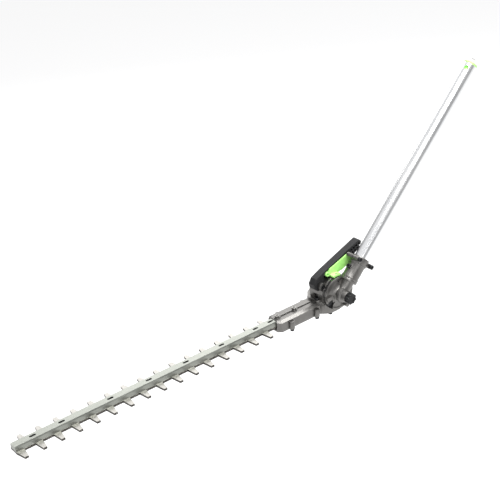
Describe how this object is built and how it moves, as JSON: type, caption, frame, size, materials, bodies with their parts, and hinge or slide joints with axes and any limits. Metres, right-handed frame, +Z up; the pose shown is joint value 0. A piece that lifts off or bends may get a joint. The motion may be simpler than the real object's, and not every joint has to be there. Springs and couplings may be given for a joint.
{
  "type": "pole hedge trimmer attachment",
  "caption": "Tilting hedge trimmer head on a straight tube: double-sided reciprocating cutter bar, bevel gear head, indexed tilt joint with a hand lever, and a square drive end.",
  "frame": {"origin": "centre of the tube's free end face", "axes": "+X from the blade tips towards the tube end, +Y along the tilt hinge from the knob towards the blades, +Z up and square to the blades; the tube rises at 45 degrees"},
  "size_m": [1.0197, 0.1095, 0.4037],
  "materials": {
    "tube": "bright anodised",
    "lime_plastic": "satin moulded",
    "bronze": "sintered",
    "cast_alloy": "die cast, shot blasted",
    "bright_steel": "ground",
    "black_screws": "black oxide",
    "plated_screws": "zinc plated",
    "gear_steel": "oiled",
    "drive_steel": "drawn",
    "blade_steel": "satin",
    "bar_metal": "satin",
    "black_plastic": "fine texture",
    "knob_plastic": "fine texture"
  },
  "bodies": {
    "pole": {"pole_tube": "tube", "pole_end_cap": "lime_plastic", "shaft_bushes": "bronze", "hinge_housing": "cast_alloy", "pole_collar": "cast_alloy", "clamp_cap": "cast_alloy", "clamp_screws": "black_screws", "locating_screw": "black_screws", "index_plate": "black_screws", "index_screws": "black_screws", "spigot_ring": "bright_steel", "hinge_bearing": "bright_steel", "neck_bearings": "bright_steel", "hinge_bush": "bronze"},
    "knob": {"hinge_knob": "knob_plastic", "knob_stud": "bright_steel"},
    "washer": {"thrust_washer": "bright_steel"},
    "drive": {"drive_shaft": "drive_steel", "drive_pinion": "gear_steel"},
    "head": {"head_housing": "cast_alloy", "gear_case": "cast_alloy", "bottom_cover": "cast_alloy", "cover_screws": "black_screws", "turret_screws": "black_screws", "case_bolts": "plated_screws", "upper_crank_bearing": "bright_steel", "lower_crank_bearing": "bright_steel", "guide_bar": "bar_metal", "bar_nuts": "black_screws", "bar_bolts": "black_screws", "handle": "black_plastic", "handle_screw": "black_screws", "trigger_pin": "bright_steel", "trigger_spring": "bright_steel"},
    "hinge_drive": {"hinge_shaft": "gear_steel", "hinge_gear": "gear_steel", "hinge_pinion": "gear_steel"},
    "crank": {"crank_shaft": "gear_steel", "crank_gear": "gear_steel", "crank_nut": "bright_steel"},
    "upper_rod": {"upper_conrod": "gear_steel", "upper_rod_pin": "gear_steel"},
    "lower_rod": {"lower_conrod": "gear_steel", "lower_rod_pin": "gear_steel"},
    "upper_cutter": {"upper_blade": "blade_steel"},
    "lower_cutter": {"lower_blade": "blade_steel"},
    "release": {"trigger": "lime_plastic", "index_pawl": "bright_steel"}
  },
  "joints": [
    {"name": "head_tilt", "type": "hinge", "parent": "pole", "child": "head", "pos_m": [-0.34719, 0, -0.34719], "axis": [0, 1, 0], "range_deg": [-135, 0]},
    {"name": "knob_turn", "type": "hinge", "parent": "pole", "child": "knob", "pos_m": [-0.34719, 0, -0.34719], "axis": [0, -1, 0], "continuous": true},
    {"name": "washer_float", "type": "hinge", "parent": "pole", "child": "washer", "pos_m": [-0.34719, 0, -0.34719], "axis": [0.7071, 0, 0.7071], "range_deg": [-135, 0]},
    {"name": "drive_spin", "type": "hinge", "parent": "washer", "child": "drive", "pos_m": [-0.34719, 0, -0.34719], "axis": [0.7071, 0, 0.7071], "continuous": true},
    {"name": "hinge_shaft_spin", "type": "hinge", "parent": "head", "child": "hinge_drive", "pos_m": [-0.34719, 0.0427, -0.34719], "axis": [0, -1, 0], "continuous": true},
    {"name": "crank_spin", "type": "hinge", "parent": "head", "child": "crank", "pos_m": [-0.34719, 0.0427, -0.37719], "axis": [0, 0, 1], "continuous": true},
    {"name": "upper_rod_swing", "type": "hinge", "parent": "crank", "child": "upper_rod", "pos_m": [-0.33894, 0.0427, -0.37719], "axis": [0, 0, 1], "continuous": true},
    {"name": "lower_rod_swing", "type": "hinge", "parent": "crank", "child": "lower_rod", "pos_m": [-0.35544, 0.0427, -0.37719], "axis": [0, 0, 1], "continuous": true},
    {"name": "upper_blade_slide", "type": "slide", "parent": "head", "child": "upper_cutter", "axis": [1, 0, 0], "range_m": [-0.0165, 0]},
    {"name": "lower_blade_slide", "type": "slide", "parent": "head", "child": "lower_cutter", "axis": [1, 0, 0], "range_m": [0, 0.0165]},
    {"name": "trigger_squeeze", "type": "hinge", "parent": "head", "child": "release", "pos_m": [-0.36019, 0.0427, -0.30819], "axis": [0, -1, 0], "range_deg": [0, 6], "stiffness_Nm_per_rad": 0.4, "springref_deg": -2.86}
  ],
  "couplings": [
    {"joint": "washer_float", "follows": "head_tilt", "ratio": 1},
    {"joint": "hinge_shaft_spin", "follows": "crank_spin", "ratio": 2.2222},
    {"joint": "drive_spin", "follows": "crank_spin", "ratio": -2.2222},
    {"joint": "upper_rod_swing", "follows": "crank_spin", "ratio": -1},
    {"joint": "lower_rod_swing", "follows": "crank_spin", "ratio": -1},
    {"joint": "lower_blade_slide", "follows": "upper_blade_slide", "ratio": -1}
  ]
}
